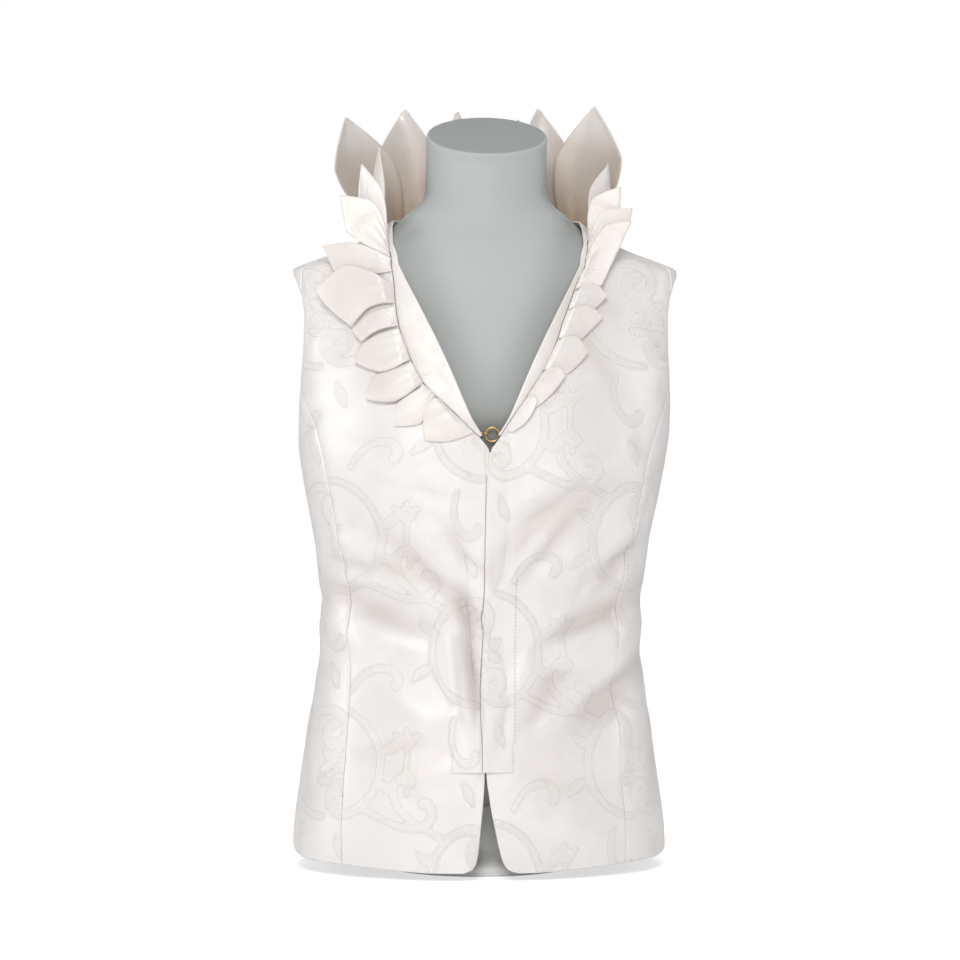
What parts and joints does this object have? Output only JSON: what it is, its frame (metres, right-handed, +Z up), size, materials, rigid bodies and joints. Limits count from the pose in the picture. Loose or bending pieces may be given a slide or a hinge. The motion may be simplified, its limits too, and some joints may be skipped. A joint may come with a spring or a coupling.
{
  "type": "sleeveless waistcoat with a petal collar, on a limbless dress form",
  "caption": "Fitted sleeveless brocade waistcoat with a V neck, a standing collar of folded petals, princess seams and a hidden front closing, worn by a plain limbless dress form.",
  "frame": {"origin": "centre of the underside of the dress form's foot", "axes": "+Z up; the front of the waistcoat faces -Y; +X is to the right as seen from the front"},
  "size_m": [0.3631, 0.245, 0.7242],
  "materials": {
    "brocade": "ivory silk brocade, satin",
    "petal_cloth": "ivory silk, soft satin",
    "form_paint": "smooth grey-green, eggshell",
    "foot_paint": "white, satin",
    "gilt_wire": "polished gilt"
  },
  "bodies": {
    "root": {"back_left": "brocade", "back_right": "brocade", "clasp_hook": "gilt_wire", "clasp_ring": "gilt_wire", "closing_strip_left": "brocade", "closing_strip_right": "brocade", "dress_form": "form_paint", "form_foot": "foot_paint", "front_left": "brocade", "front_right": "brocade", "neck_band_left": "brocade", "neck_band_right": "brocade", "petal_left_01": "petal_cloth", "petal_left_02": "petal_cloth", "petal_left_03": "petal_cloth", "petal_left_04": "petal_cloth", "petal_left_05": "petal_cloth", "petal_left_06": "petal_cloth", "petal_left_07": "petal_cloth", "petal_left_08": "petal_cloth", "petal_left_09": "petal_cloth", "petal_left_10": "petal_cloth", "petal_left_11": "petal_cloth", "petal_left_12": "petal_cloth", "petal_left_13": "petal_cloth", "petal_right_01": "petal_cloth", "petal_right_02": "petal_cloth", "petal_right_03": "petal_cloth", "petal_right_04": "petal_cloth", "petal_right_05": "petal_cloth", "petal_right_06": "petal_cloth", "petal_right_07": "petal_cloth", "petal_right_08": "petal_cloth", "petal_right_09": "petal_cloth", "petal_right_10": "petal_cloth", "petal_right_11": "petal_cloth", "petal_right_12": "petal_cloth", "side_back_left": "brocade", "side_back_right": "brocade", "side_front_left": "brocade", "side_front_right": "brocade"}
  },
  "joints": []
}
